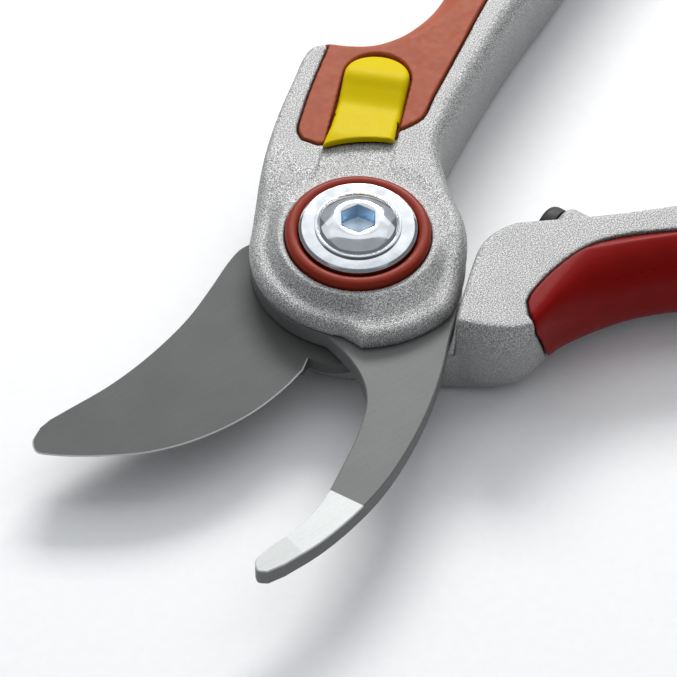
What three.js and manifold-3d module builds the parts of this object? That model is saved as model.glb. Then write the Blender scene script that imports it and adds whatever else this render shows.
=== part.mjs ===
// Bypass pruning shears, open: two cast levers that cross at one pivot.
// Millimetres, +Z up. The origin is the flat end of the pivot bolt, on the pivot axis.
// The jaws point to -X and the handles spread about +X.
import * as THREE from 'three';
import { mergeVertices } from 'three/addons/utils/BufferGeometryUtils.js';
import Module from 'manifold-3d';

const wasm = await Module();
wasm.setup();

// ---- driving dimensions -------------------------------------------------------------

const HALF_OPENING = THREE.MathUtils.degToRad(30); // each lever's turn from the +X axis
const CLOSING_TURN = THREE.MathUtils.degToRad(43); // how far the lower lever turns to close
const GAP = 0.3; // running and fitting clearance

// the stack along the pivot, from the table up
const HUB = { bottom: 1.0, top: 6.7, radius: 19.5 };
const BLADE = { bottom: 7.0, top: 10.0 };
const HOOK = { bottom: 10.3, top: 14.0 };
const CAP = { bottom: 14.3, top: 20.0, radius: 20.0, lobeRadius: 22.6 };
const HANDLE = { bottom: 0, top: 20.0, edge: 1.2 };

// the pivot
const BOLT = { radius: 4.0, headRadius: 7.9, headBottom: 22.2, headTop: 24.1 };
const SOCKET = { flats: 6.0, depth: 3.6, turn: 23.5 };
const BORE_RADIUS = BOLT.radius + GAP;
const BUSHING_RADIUS = 6.2;
const PLATE_BORE_RADIUS = BUSHING_RADIUS + GAP;
const RING = { inner: 11.1, outer: 13.2, bottom: 17.8, top: 21.2 };
const WASHER = { radius: 10.8, bottom: 20.0, top: 21.9 };
const SPRING_WASHER = { radius: 8.2, bottom: 17.8, top: 19.7 };
const HEAD_SEAT = { radius: RING.outer + GAP, floor: 17.5 };
const NUT = { flats: 13.0, top: 2.6 };
const NUT_SEAT = { radius: 8.0, roof: 2.9 };

// the torsion spring lies as a flat spiral in a ring pocket of the hub
const SPRING = { wire: 1.7, inner: 10.0, outer: 13.4, turns: 1.5, height: 5.2, legTop: 13.2, legAngle: 0.9 };
const SPRING_POCKET = { inner: 8.6, outer: 14.7, floor: 4.0 };

// the lower handle's root rises beside the plates, outside their sweep
const ROOT_TOP = 9.9;

// plates and pins
const PIN_RADIUS = 1.5;
const BLADE_PIN = { circle: 17.0, bottom: 3.4, top: 9.8, angles: [2.6, 3.7, 4.9] };
const HOOK_SCREW = { circle: 16.8, bottom: 10.6, top: 16.4, angles: [1.9, 3.9, 5.4] };

// the thumb lock slides along an axis that passes a little to one side of the pivot
const LOCK = { turn: THREE.MathUtils.degToRad(12.5), offset: 3.75, travel: 4.5 };
const BUTTON = {
  start: 16.8,
  end: 45.0,
  halfWidth: 6.2,
  bottom: 18.5,
  valley: 19.9,
  lipTop: 21.3,
  ridgeTop: 21.6,
};
const LIP = { x: -1.3, y: -6.3, radius: 24.2, front: 22.05, overhang: 6.4, underside: 19.9 };
const RECESS = { innerRadius: 15.2, end: 45.4, halfWidth: 6.6, floor: 18.2, step: 21.7, stepFloor: 19.6 };
const TONGUE = { tip: 21.0, end: 37.0, halfWidth: 2.6, bottom: 3.0, top: 6.4, stemStart: 28.0, stemEnd: 34.0 };
const LOCK_SCREW = { x: 31.0, radius: 1.5, headRadius: 2.2, top: 16.0 };
const DETENT = { x: 40.4, radius: 1.5, springRadius: 1.3, springBottom: 9.0 };

// grips
const GRIP = { bottom: 3.0, top: 20.3, wall: 2.6, roof: 16.6 };

// the end stop on the inner side of the lower handle
const BUFFER = { x: 39.9, y: 0.3, z: 13.2, tilt: 48, radius: 3.8, face: 6.4, root: 3.0, bossRadius: 4.8 };
const STUD = { radius: 1.6, inner: -4.0 };

// ---- materials ----------------------------------------------------------------------

function metal(color, roughness) {
  return new THREE.MeshStandardMaterial({ color, roughness, metalness: 1 });
}

function plastic(color, roughness) {
  return new THREE.MeshStandardMaterial({ color, roughness, metalness: 0 });
}

const castAluminium = metal(0xc9cac8, 0.55);
const bladeSteel = metal(0x646864, 0.35);
const hookSteel = metal(0x838782, 0.4);
const zinc = metal(0xb9c0c6, 0.3);
const springSteel = metal(0x77797c, 0.35);
const ringRed = plastic(0xa83a22, 0.25);
const upperGripRed = plastic(0xb9564f, 0.4);
const lowerGripRed = plastic(0x8c1a12, 0.25);
const lockYellow = plastic(0xe2c818, 0.35);
const blackRubber = plastic(0x17171a, 0.7);

// ---- outlines -----------------------------------------------------------------------

function point(x, y) {
  return new THREE.Vector2(x, y);
}

// points on a circle about the pivot, angles in degrees
function arc(radius, from, to, steps) {
  const points = [];
  for (let i = 0; i <= steps; i += 1) {
    const angle = THREE.MathUtils.degToRad(from + ((to - from) * i) / steps);
    points.push(point(radius * Math.cos(angle), radius * Math.sin(angle)));
  }
  return points;
}

// a smooth line through a few points, cut into short straight steps
function smooth(pairs, stepsPerSpan = 3) {
  const knots = pairs.map(([x, y]) => new THREE.Vector3(x, y, 0));
  const curve = new THREE.CatmullRomCurve3(knots, false, 'centripetal');
  return curve.getPoints((pairs.length - 1) * stepsPerSpan).map((p) => point(p.x, p.y));
}

// moves every point of a closed anticlockwise outline outward (or inward if negative)
function offset(points, distance) {
  return points.map((here, i) => {
    const before = points[(i + points.length - 1) % points.length];
    const after = points[(i + 1) % points.length];
    const along = after.clone().sub(before).normalize();
    return point(here.x + along.y * distance, here.y - along.x * distance);
  });
}

// handle of the upper lever, from its inner root round its end to the outer root
const UPPER_HANDLE_LINE = [
  [16.0, -12.4], [20.2, -9.2], [24.6, -6.2], [28.5, -4.8], [34, -4.4], [50, -4.5], [60, -4.9], [71, -5.8],
  [82, -7.0], [94, -7.9], [108, -9.2], [121, -11.0], [131, -13.2], [137.5, -13.2], [141, -9.0], [140, -3.6],
  [134, 1.0], [122, 6.0], [108, 9.4], [92, 10.8], [76, 10.4], [64, 10.3], [55.8, 11.4], [49.8, 13.3],
  [45.6, 16.5], [43.4, 20.7], [42.2, 24.6], [40.2, 27.0], [36.8, 27.4], [31, 26.8], [23.4, 26.0], [14.8, 24.6],
  [6, 22.6], [1.2, 21.2], [-2.4, 20.1],
];

function upperOutline() {
  return [
    ...smooth(UPPER_HANDLE_LINE, 2),
    ...arc(CAP.radius, 103, 190, 16),
    ...smooth([[-19.5, -5.4], [-19.9, -7.4], [-20.5, -9.4]], 2),
    ...arc(CAP.lobeRadius, 209, 252, 9),
    ...smooth([[-3.6, -21.2], [0.5, -20.3]], 2),
    ...arc(CAP.radius, 280, 316, 7),
  ];
}

// where the upper grip shows from above: the lever's outer side, past the head
const UPPER_GRIP_LINE = [
  [17.2, 15.6], [19.4, 12.4], [22.2, 8.6], [25.0, 4.6], [27.6, 2.3], [31.3, 0.3], [36, 0.5], [43, 0.6], [65, 0.9],
  [82, 0.2], [100, -0.6], [118, -2.6], [130, -5.2],
];

function upperGripPlan() {
  return [
    ...smooth(UPPER_GRIP_LINE, 2),
    point(134, 20),
    point(60, 34),
    point(43, 32),
    ...smooth([[41.5, 23.8], [35.8, 23.2], [29.4, 22.4], [23.6, 21.4], [19.0, 20.3], [17.4, 18.8]], 2),
  ];
}

// handle of the lower lever, from its corner by the jaws round its end to its inner root
const LOWER_HANDLE_LINE = [
  [14.8, -22.6], [18.0, -23.9], [21.5, -25.0], [25.5, -25.6], [29.0, -24.8], [32.0, -22.4], [35.5, -20.1],
  [39.5, -18.2], [44, -16.5], [50, -14.9], [58, -14.1], [72, -14.6], [88, -15.6], [104, -15.2], [118, -12.4],
  [130, -7.6], [138, -2.2], [141, 3.4], [138.5, 8.4], [132, 9.6], [121, 7.4], [108, 5.4], [94, 3.9], [82, 3.0],
  [71, 1.8], [60, 0.6], [46, -0.3], [33, -0.3], [29, -0.4], [25.4, -1.8], [22.1, -4.7], [19.9, -8.9],
  [18.0, -13.6], [16.4, -17.7], [15.4, -20.6],
];

function lowerOutline() {
  return smooth(LOWER_HANDLE_LINE, 2);
}

const LOWER_GRIP_LINE = [
  [138, 1.0], [128, 0.6], [116, -1.4], [100, -3.6], [82, -5.0], [66, -5.8], [50, -6.0], [44, -6.9], [39.5, -8.8],
  [35.3, -11.8], [31.6, -15.2], [28.8, -18.6], [28.0, -21.4], [29.4, -25.4],
];

function lowerGripPlan() {
  return [point(34, -34), point(140, -30), ...smooth(LOWER_GRIP_LINE, 2)];
}

const BLADE_HEEL = [
  [0, -19.5], [-3.4, -21.8], [-6.5, -22.0], [-9.4, -21.2], [-11.4, -20.0],
];
const BLADE_BACK = [
  [-18.6, 8.4], [-21, 7.2], [-23.4, 4.5], [-27.6, -1.9], [-32.4, -8.6], [-39.7, -16.1], [-47.4, -22.2],
  [-54.8, -26.6], [-58.4, -28.7],
];
// the tip and cutting edge on the top face, and the same points on the underside
const BLADE_EDGE = [
  [-60.4, -30.4], [-61.8, -33.2], [-61.2, -35.6], [-58.6, -36.6], [-50.2, -37.8], [-41.3, -37.9], [-32.3, -35.9],
  [-23.1, -31.6], [-16.3, -26.4], [-12.6, -22.6],
];
const BLADE_GROUND = [
  [-59.4, -30.0], [-59.2, -31.2], [-58.2, -31.9], [-55.8, -32.1], [-49.0, -32.4], [-40.6, -31.8], [-33.4, -29.8],
  [-26.2, -26.4], [-18.6, -22.6], [-12.4, -21.4],
];

const HOOK_INNER = [
  [-19.9, -2.5], [-21.4, -5.4], [-23.2, -8.5], [-26.4, -12.2], [-30.5, -14.8], [-37, -16.2], [-46, -16.6],
  [-54, -16.4], [-60.6, -14.7], [-67.0, -11.7], [-69.6, -11.0], [-71.4, -12.2], [-71.0, -13.9],
];
const HOOK_OUTER = [
  [-68.4, -16.0], [-61.9, -19.7], [-54, -22.8], [-46, -24.8], [-36, -25.7], [-26, -25.4], [-18, -24.3],
  [-11.6, -22.9], [-6.5, -22.0], [-1, -20.4],
];

function hookOutline() {
  return [...arc(CAP.radius - 0.1, -80, 184, 32), ...smooth(HOOK_INNER, 2), ...smooth(HOOK_OUTER, 2)];
}

// ---- solids -------------------------------------------------------------------------

function toSolid(geometry) {
  geometry.deleteAttribute('normal');
  geometry.deleteAttribute('uv');
  const closed = mergeVertices(geometry, 1e-4);
  const vertProperties = Float32Array.from(closed.attributes.position.array);
  const triVerts = Uint32Array.from(closed.index.array);
  return new wasm.Manifold(new wasm.Mesh({ numProp: 3, vertProperties, triVerts }));
}

function toGeometry(solid) {
  const mesh = solid.getMesh();
  const geometry = new THREE.BufferGeometry();
  geometry.setAttribute('position', new THREE.BufferAttribute(Float32Array.from(mesh.vertProperties), 3));
  geometry.setIndex(Array.from(mesh.triVerts));
  geometry.computeVertexNormals();
  return geometry;
}

// a flat plate from bottom to top, with its edges rounded off by edge
function slab(outline, bottom, top, edge = 0) {
  const geometry = new THREE.ExtrudeGeometry(new THREE.Shape(outline), {
    depth: top - bottom - 2 * edge,
    bevelEnabled: edge > 0,
    bevelThickness: edge,
    bevelSize: edge,
    bevelOffset: -edge,
    bevelSegments: 2,
  });
  geometry.translate(0, 0, bottom + edge);
  return toSolid(geometry);
}

// a turned piece about the Z axis from [radius, height] pairs
function turned(profile, segments = 40) {
  const geometry = new THREE.LatheGeometry(profile.map(([r, z]) => point(r, z)), segments);
  geometry.rotateX(Math.PI / 2);
  return toSolid(geometry);
}

function cylinder(radius, bottom, top, x = 0, y = 0, segments = 24) {
  const geometry = new THREE.CylinderGeometry(radius, radius, top - bottom, segments);
  geometry.rotateX(Math.PI / 2);
  geometry.translate(x, y, (bottom + top) / 2);
  return toSolid(geometry);
}

function tube(inner, outer, bottom, top, segments = 48) {
  const hole = cylinder(inner, bottom - 1, top + 1, 0, 0, segments);
  return cylinder(outer, bottom, top, 0, 0, segments).subtract(hole);
}

function box(low, high) {
  const size = high.map((value, i) => value - low[i]);
  const geometry = new THREE.BoxGeometry(...size);
  geometry.translate(...high.map((value, i) => (value + low[i]) / 2));
  return toSolid(geometry);
}

function piece(name, solid, material) {
  const mesh = new THREE.Mesh(toGeometry(solid), material);
  mesh.name = name;
  return mesh;
}

function onCircle(radius, angle) {
  return [radius * Math.cos(angle), radius * Math.sin(angle)];
}

// moves a solid from the lock's own frame (x along its slide) to the upper lever's frame
function inUpperLever(solid) {
  const moved = solid.rotate([0, 0, THREE.MathUtils.radToDeg(LOCK.turn)]);
  return moved.translate([-LOCK.offset * Math.sin(LOCK.turn), LOCK.offset * Math.cos(LOCK.turn), 0]);
}

// ---- the upper lever ----------------------------------------------------------------

// the grip is a top plate and a side wall; room widens it into the space cut for it, and
// outward is the side of the lever that it covers, +1 or -1 along Y
function gripBody(handle, plan, room, outward) {
  const outside = slab(offset(plan, room), GRIP.bottom - room, 40);
  const wall = GRIP.wall + room;
  const core = slab(handle, -1, GRIP.roof - room).translate([-wall, -outward * wall, 0]);
  return outside.subtract(core);
}

function buttonRecess() {
  const straightEnd = RECESS.end - RECESS.halfWidth;
  const shallow = box([6, -RECESS.halfWidth, RECESS.stepFloor], [RECESS.step + 1, RECESS.halfWidth, 30]);
  const deep = box([RECESS.step, -RECESS.halfWidth, RECESS.floor], [straightEnd, RECESS.halfWidth, 30]);
  const roundEnd = cylinder(RECESS.halfWidth, RECESS.floor, 30, straightEnd, 0, 40);
  const whole = inUpperLever(shallow.add(deep).add(roundEnd));
  return whole.subtract(cylinder(RECESS.innerRadius, 0, 40, 0, 0, 48));
}

function tongueChannel() {
  const side = TONGUE.halfWidth + GAP;
  const bar = box([14, -side, TONGUE.bottom - GAP], [TONGUE.end + GAP, side, TONGUE.top + GAP]);
  const stem = box(
    [TONGUE.stemStart - LOCK.travel - GAP, -side, TONGUE.bottom],
    [TONGUE.stemEnd + GAP, side, 30],
  );
  const detentHole = cylinder(DETENT.radius + GAP, DETENT.springBottom - GAP, 30, DETENT.x, 0);
  const screwSlot = box(
    [LOCK_SCREW.x - LOCK.travel - LOCK_SCREW.headRadius - 1, -LOCK_SCREW.headRadius - GAP, -1],
    [LOCK_SCREW.x + LOCK_SCREW.headRadius + 1, LOCK_SCREW.headRadius + GAP, TONGUE.bottom],
  );
  return inUpperLever(bar.add(stem).add(detentHole).add(screwSlot));
}

function upperHandle() {
  const outline = upperOutline();
  const sweep = cylinder(CAP.radius + 0.8, -1, CAP.bottom, 0, 0, 64);
  const underHead = box([-60, -60, -1], [10, 60, CAP.bottom]);
  let body = slab(outline, HANDLE.bottom, HANDLE.top, HANDLE.edge).subtract(sweep).subtract(underHead);
  body = body.subtract(gripBody(outline, upperGripPlan(), GAP, 1));
  body = body.subtract(buttonRecess()).subtract(tongueChannel());
  body = body.subtract(cylinder(BORE_RADIUS, 10, 30));
  body = body.subtract(cylinder(HEAD_SEAT.radius, HEAD_SEAT.floor, 30, 0, 0, 64));
  for (const angle of HOOK_SCREW.angles) {
    const place = onCircle(HOOK_SCREW.circle, angle);
    body = body.subtract(cylinder(PIN_RADIUS + GAP, 10, HOOK_SCREW.top + GAP, ...place));
  }
  return piece('upper_handle', body, castAluminium);
}

function upperGrip() {
  const outline = upperOutline();
  const skin = slab(outline, HANDLE.bottom, GRIP.top, HANDLE.edge);
  const body = gripBody(outline, upperGripPlan(), 0, 1).intersect(skin);
  return piece('upper_grip', body.subtract(buttonRecess()).subtract(tongueChannel()), upperGripRed);
}

function counterBlade() {
  let body = slab(hookOutline(), HOOK.bottom, HOOK.top);
  body = body.subtract(cylinder(PLATE_BORE_RADIUS, 0, 30, 0, 0, 40));
  body = body.subtract(cylinder(SPRING.wire / 2 + GAP, 0, 30, ...onCircle(SPRING.inner, SPRING.legAngle)));
  for (const angle of HOOK_SCREW.angles) {
    body = body.subtract(cylinder(PIN_RADIUS + GAP, 0, 30, ...onCircle(HOOK_SCREW.circle, angle)));
  }
  return piece('counter_blade', body, hookSteel);
}

function counterBladeScrews() {
  return HOOK_SCREW.angles.map((angle, i) => {
    const body = cylinder(PIN_RADIUS, HOOK_SCREW.bottom, HOOK_SCREW.top, ...onCircle(HOOK_SCREW.circle, angle));
    return piece(`counter_blade_screw_${i + 1}`, body, zinc);
  });
}

// ---- the thumb lock -----------------------------------------------------------------

// the slide's side view, drawn along its travel: domed end, ridge, thumb valley, lip; the
// lip overhangs, and its front is cut to an arc
function buttonBody() {
  const side = smooth([
    [BUTTON.start, BUTTON.lipTop - 0.1], [LIP.front - 0.5, BUTTON.lipTop], [LIP.front + 3, BUTTON.lipTop - 0.6],
    [LIP.front + 6.4, BUTTON.valley + 0.55], [LIP.front + 9.6, BUTTON.valley], [LIP.front + 13, BUTTON.valley + 0.7],
    [BUTTON.end - 6.2, BUTTON.ridgeTop],
    [BUTTON.end - 3, BUTTON.ridgeTop - 0.6], [BUTTON.end, BUTTON.valley - 0.6],
  ], 2);
  const outline = [point(BUTTON.end, BUTTON.bottom), ...side.reverse(), point(BUTTON.start, BUTTON.bottom)];
  const wide = BUTTON.halfWidth + 1;
  const geometry = new THREE.ExtrudeGeometry(new THREE.Shape(outline), { depth: 2 * wide, bevelEnabled: false });
  geometry.rotateX(Math.PI / 2);
  geometry.translate(0, wide, 0);
  const half = BUTTON.halfWidth;
  const plan = [
    ...smooth([
      [BUTTON.end - 7, -half], [BUTTON.end - 3.9, 0.4 - half], [BUTTON.end - 1.3, 2.3 - half], [BUTTON.end, 0],
      [BUTTON.end - 1.3, half - 2.3], [BUTTON.end - 3.9, half - 0.4], [BUTTON.end - 7, half],
    ], 2),
    point(BUTTON.start, half),
    point(BUTTON.start, -half),
  ];
  const front = cylinder(LIP.radius, 0, 40, LIP.x, LIP.y, 72);
  const under = box([0, -wide, 0], [LIP.front + LIP.overhang, wide, LIP.underside]);
  return toSolid(geometry).intersect(slab(plan, 0, 40)).subtract(front).subtract(under);
}

function lockButton() {
  const dimple = cylinder(DETENT.radius, 0, BUTTON.bottom + 0.4, DETENT.x, 0);
  return piece('lock_button', buttonBody().subtract(dimple), lockYellow);
}

function lockTongue() {
  const bar = box([TONGUE.tip, -TONGUE.halfWidth, TONGUE.bottom], [TONGUE.end, TONGUE.halfWidth, TONGUE.top]);
  const stem = box(
    [TONGUE.stemStart, -TONGUE.halfWidth, TONGUE.bottom],
    [TONGUE.stemEnd, TONGUE.halfWidth, BUTTON.bottom - GAP],
  );
  const screwHole = cylinder(LOCK_SCREW.radius + GAP, 0, LOCK_SCREW.top + GAP, LOCK_SCREW.x, 0);
  return piece('lock_tongue', bar.add(stem).subtract(screwHole), zinc);
}

function lockScrew() {
  const body = cylinder(LOCK_SCREW.radius, 1.4, LOCK_SCREW.top, LOCK_SCREW.x, 0);
  const head = cylinder(LOCK_SCREW.headRadius, 0.9, TONGUE.bottom - GAP, LOCK_SCREW.x, 0);
  return piece('lock_screw', body.add(head), zinc);
}

// a ball on a small spring in a blind hole of the casting clicks under the slide
function detentBall() {
  const geometry = new THREE.SphereGeometry(DETENT.radius, 16, 10);
  geometry.translate(DETENT.x, 0, BUTTON.bottom - GAP - DETENT.radius);
  return piece('detent_ball', toSolid(geometry), zinc);
}

function detentSpring() {
  const top = BUTTON.bottom - 2 * DETENT.radius - 2 * GAP;
  const body = cylinder(DETENT.springRadius, DETENT.springBottom, top, DETENT.x, 0);
  const hollow = cylinder(DETENT.springRadius - 0.5, 0, 40, DETENT.x, 0);
  return piece('detent_spring', body.subtract(hollow), springSteel);
}

// ---- the pivot ----------------------------------------------------------------------

function pivotBolt() {
  const socketFloor = BOLT.headTop - SOCKET.depth;
  const socket = cylinder(SOCKET.flats / Math.sqrt(3), socketFloor, 40, 0, 0, 6).rotate([0, 0, SOCKET.turn]);
  const body = turned([
    [0, 0], [BOLT.radius, 0], [BOLT.radius, BOLT.headBottom], [BOLT.headRadius, BOLT.headBottom],
    [BOLT.headRadius, BOLT.headBottom + 0.4], [BOLT.headRadius - 1.2, BOLT.headTop - 0.9],
    [BOLT.headRadius - 2.8, BOLT.headTop - 0.3], [BOLT.headRadius - 4, BOLT.headTop], [0, BOLT.headTop],
  ]);
  return piece('pivot_bolt', body.subtract(socket), zinc);
}

function pivotWasher() {
  return piece('pivot_washer', tube(BORE_RADIUS, WASHER.radius, WASHER.bottom, WASHER.top), zinc);
}

function springWasher() {
  const body = tube(BORE_RADIUS, SPRING_WASHER.radius, SPRING_WASHER.bottom, SPRING_WASHER.top);
  return piece('spring_washer', body, springSteel);
}

function pivotRing() {
  const crown = (RING.inner + RING.outer) / 2;
  const body = turned([
    [RING.inner, RING.bottom], [RING.outer, RING.bottom], [RING.outer, RING.top - 1.1],
    [RING.outer - 0.4, RING.top - 0.3], [crown, RING.top], [RING.inner + 0.4, RING.top - 0.3],
    [RING.inner, RING.top - 1.1], [RING.inner, RING.bottom],
  ], 44);
  return piece('pivot_ring', body, ringRed);
}

function pivotBushing() {
  return piece('pivot_bushing', tube(BORE_RADIUS, BUSHING_RADIUS, BLADE.bottom, HOOK.top, 40), zinc);
}

function pivotNut() {
  const body = cylinder(NUT.flats / Math.sqrt(3), 0, NUT.top, 0, 0, 6).subtract(cylinder(BORE_RADIUS, -1, 9));
  return piece('pivot_nut', body, zinc);
}

// flat spiral, with its inner end turned up into the hook plate and its outer end in the hub
function torsionSpring() {
  const path = [];
  const [legX, legY] = onCircle(SPRING.inner, SPRING.legAngle);
  for (const z of [SPRING.legTop, 10, SPRING.height + 1.6]) {
    path.push(new THREE.Vector3(legX, legY, z));
  }
  const steps = 26;
  for (let i = 1; i <= steps; i += 1) {
    const t = i / steps;
    const angle = SPRING.legAngle + 0.15 + t * SPRING.turns * 2 * Math.PI;
    const [x, y] = onCircle(SPRING.inner + t * (SPRING.outer - SPRING.inner), angle);
    path.push(new THREE.Vector3(x, y, SPRING.height));
  }
  const section = new THREE.Shape(
    Array.from({ length: 8 }, (_, i) => point(...onCircle(SPRING.wire / 2, (i * Math.PI) / 4))),
  );
  const curve = new THREE.CatmullRomCurve3(path, false, 'centripetal');
  const geometry = new THREE.ExtrudeGeometry(section, { steps: 54, bevelEnabled: false, extrudePath: curve });
  return piece('torsion_spring', toSolid(geometry), springSteel);
}

// ---- the lower lever ----------------------------------------------------------------

// room for the lock's tongue in the hub's rim, at the closed and at the open place
function tongueNotch(turn) {
  const side = TONGUE.halfWidth + GAP;
  const notch = inUpperLever(box([TONGUE.tip - LOCK.travel - GAP, -side, -1], [30, side, 12]));
  return notch.rotate([0, 0, THREE.MathUtils.radToDeg(turn)]);
}

function hub() {
  let body = cylinder(HUB.radius, HUB.bottom, HUB.top, 0, 0, 64);
  body = body.subtract(tongueNotch(2 * HALF_OPENING)).subtract(tongueNotch(2 * HALF_OPENING - CLOSING_TURN));
  const root = [
    point(6, -14), point(6, -20.4), point(11, -22.2), point(22, -24), point(27, -22), point(27, -7), point(14, -7),
  ];
  const low = slab(root, HUB.bottom, HUB.top);
  const high = slab(root, HUB.top - 1, ROOT_TOP).subtract(cylinder(CAP.radius + 0.3, 0, 40, 0, 0, 64));
  return body.add(low).add(high);
}

// stands a solid made along Z on the inner side of the lower handle, leaning to the pivot
function onBufferAxis(solid) {
  return solid.rotate([-90, 0, 0]).rotate([0, 0, BUFFER.tilt]).translate([BUFFER.x, BUFFER.y, BUFFER.z]);
}

function lowerHandle() {
  const outline = lowerOutline();
  let body = slab(outline, HANDLE.bottom, HANDLE.top, HANDLE.edge);
  body = body.add(onBufferAxis(cylinder(BUFFER.bossRadius, -3, BUFFER.root, 0, 0, 32)));
  body = body.subtract(gripBody(outline, lowerGripPlan(), GAP, -1)).add(hub());
  const pocket = cylinder(SPRING_POCKET.outer, SPRING_POCKET.floor, 9, 0, 0, 48);
  body = body.subtract(pocket.subtract(cylinder(SPRING_POCKET.inner, 0, 12, 0, 0, 32)));
  body = body.subtract(cylinder(BORE_RADIUS, -1, 12));
  body = body.subtract(cylinder(NUT_SEAT.radius, -1, NUT_SEAT.roof, 0, 0, 40));
  for (const angle of BLADE_PIN.angles) {
    const place = onCircle(BLADE_PIN.circle, angle);
    body = body.subtract(cylinder(PIN_RADIUS + GAP, BLADE_PIN.bottom - GAP, 12, ...place));
  }
  const studHole = onBufferAxis(cylinder(STUD.radius + GAP, STUD.inner - GAP, 20));
  return piece('lower_handle', body.subtract(studHole), castAluminium);
}

function lowerGrip() {
  const outline = lowerOutline();
  const skin = slab(outline, HANDLE.bottom, GRIP.top, HANDLE.edge);
  return piece('lower_grip', gripBody(outline, lowerGripPlan(), 0, -1).intersect(skin), lowerGripRed);
}

// a plate whose bottom outline may differ from its top one, point for point
function taperedPlate(topOutline, bottomOutline, bottom, top) {
  const count = topOutline.length;
  const positions = [];
  for (const p of topOutline) positions.push(p.x, p.y, top);
  for (const p of bottomOutline) positions.push(p.x, p.y, bottom);
  const index = [];
  for (const [i, j, k] of THREE.ShapeUtils.triangulateShape(topOutline, [])) index.push(i, j, k);
  for (const [i, j, k] of THREE.ShapeUtils.triangulateShape(bottomOutline, [])) {
    index.push(count + k, count + j, count + i);
  }
  for (let i = 0; i < count; i += 1) {
    const next = (i + 1) % count;
    index.push(i, count + i, next, next, count + i, count + next);
  }
  const geometry = new THREE.BufferGeometry();
  geometry.setAttribute('position', new THREE.BufferAttribute(Float32Array.from(positions), 3));
  geometry.setIndex(index);
  return toSolid(geometry);
}

// the blade's top face is flat; its underside is ground away towards the cutting edge
function cuttingBlade() {
  const plain = [...arc(HUB.radius, 272, 514, 30), ...smooth(BLADE_BACK, 2)];
  const heel = smooth(BLADE_HEEL, 2).reverse();
  const top = [...plain, ...smooth(BLADE_EDGE, 2), ...heel];
  const underside = [...plain, ...smooth(BLADE_GROUND, 2), ...heel];
  let body = taperedPlate(top, underside, BLADE.bottom, BLADE.top);
  body = body.subtract(cylinder(PLATE_BORE_RADIUS, 0, 30, 0, 0, 40)).subtract(springLegSlot());
  for (const angle of BLADE_PIN.angles) {
    body = body.subtract(cylinder(PIN_RADIUS + GAP, 0, 30, ...onCircle(BLADE_PIN.circle, angle)));
  }
  return piece('cutting_blade', body, bladeSteel);
}

// an arc-shaped window that lets the blade turn past the spring's upright leg
function springLegSlot() {
  const half = SPRING.wire / 2 + 2 * GAP;
  const open = THREE.MathUtils.radToDeg(SPRING.legAngle + 2 * HALF_OPENING);
  const closed = open - THREE.MathUtils.radToDeg(CLOSING_TURN);
  const margin = 10;
  const outer = arc(SPRING.inner + half, closed - margin, open + margin, 14);
  const inner = arc(SPRING.inner - half, open + margin, closed - margin, 14);
  return slab([...outer, ...inner], 0, 30);
}

function bladePins() {
  return BLADE_PIN.angles.map((angle, i) => {
    const body = cylinder(PIN_RADIUS, BLADE_PIN.bottom, BLADE_PIN.top, ...onCircle(BLADE_PIN.circle, angle));
    return piece(`blade_pin_${i + 1}`, body, zinc);
  });
}

// domed rubber stop on a stud, facing the upper handle
function rubberBuffer() {
  const dome = turned([
    [0, BUFFER.root + GAP], [BUFFER.radius, BUFFER.root + GAP], [BUFFER.radius, BUFFER.face - 1.6],
    [BUFFER.radius - 0.7, BUFFER.face - 0.6], [BUFFER.radius - 2, BUFFER.face], [0, BUFFER.face],
  ], 32);
  const stem = cylinder(STUD.radius, STUD.inner + 1, BUFFER.root + 1);
  return piece('rubber_buffer', onBufferAxis(dome.add(stem)), blackRubber);
}

// ---- assembly -----------------------------------------------------------------------

function inLockFrame(meshes) {
  const slide = new THREE.Group();
  slide.rotation.z = LOCK.turn;
  slide.position.set(-LOCK.offset * Math.sin(LOCK.turn), LOCK.offset * Math.cos(LOCK.turn), 0);
  slide.add(...meshes);
  return slide;
}

function upperLever() {
  const lever = new THREE.Group();
  lever.rotation.z = HALF_OPENING;
  lever.add(upperHandle(), upperGrip(), counterBlade(), ...counterBladeScrews(), pivotRing(), torsionSpring());
  lever.add(inLockFrame([lockButton(), lockTongue(), lockScrew(), detentBall(), detentSpring()]));
  return lever;
}

function lowerLever() {
  const lever = new THREE.Group();
  lever.rotation.z = -HALF_OPENING;
  lever.add(lowerHandle(), lowerGrip(), cuttingBlade(), ...bladePins(), rubberBuffer());
  return lever;
}

function pivot() {
  return [pivotBolt(), pivotWasher(), springWasher(), pivotBushing(), pivotNut()];
}

const shears = new THREE.Group();
shears.add(upperLever(), lowerLever(), ...pivot());
export default shears;
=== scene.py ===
"""Looks of a pair of bypass pruning shears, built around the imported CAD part.

Shapes are worked out in millimetres, each lever in its own frame: the pivot at the origin
and the lever along +X. A lever is then turned by half of the opening, into the row frame.
"""

import math

import bmesh
import bpy
import numpy as np
from mathutils import Matrix, Vector


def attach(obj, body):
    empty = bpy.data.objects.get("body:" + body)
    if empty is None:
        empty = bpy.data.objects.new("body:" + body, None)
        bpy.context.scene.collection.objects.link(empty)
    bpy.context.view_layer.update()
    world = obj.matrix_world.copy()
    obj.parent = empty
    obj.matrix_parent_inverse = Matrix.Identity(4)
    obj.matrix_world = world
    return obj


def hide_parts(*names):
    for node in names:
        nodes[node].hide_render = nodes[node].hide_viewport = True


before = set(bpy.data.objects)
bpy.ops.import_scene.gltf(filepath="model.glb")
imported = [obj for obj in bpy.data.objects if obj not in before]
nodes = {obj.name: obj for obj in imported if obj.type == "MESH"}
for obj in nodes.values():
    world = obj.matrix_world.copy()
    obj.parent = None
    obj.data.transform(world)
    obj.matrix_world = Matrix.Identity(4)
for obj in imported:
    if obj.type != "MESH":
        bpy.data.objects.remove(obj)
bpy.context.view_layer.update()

MM = 0.001
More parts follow.
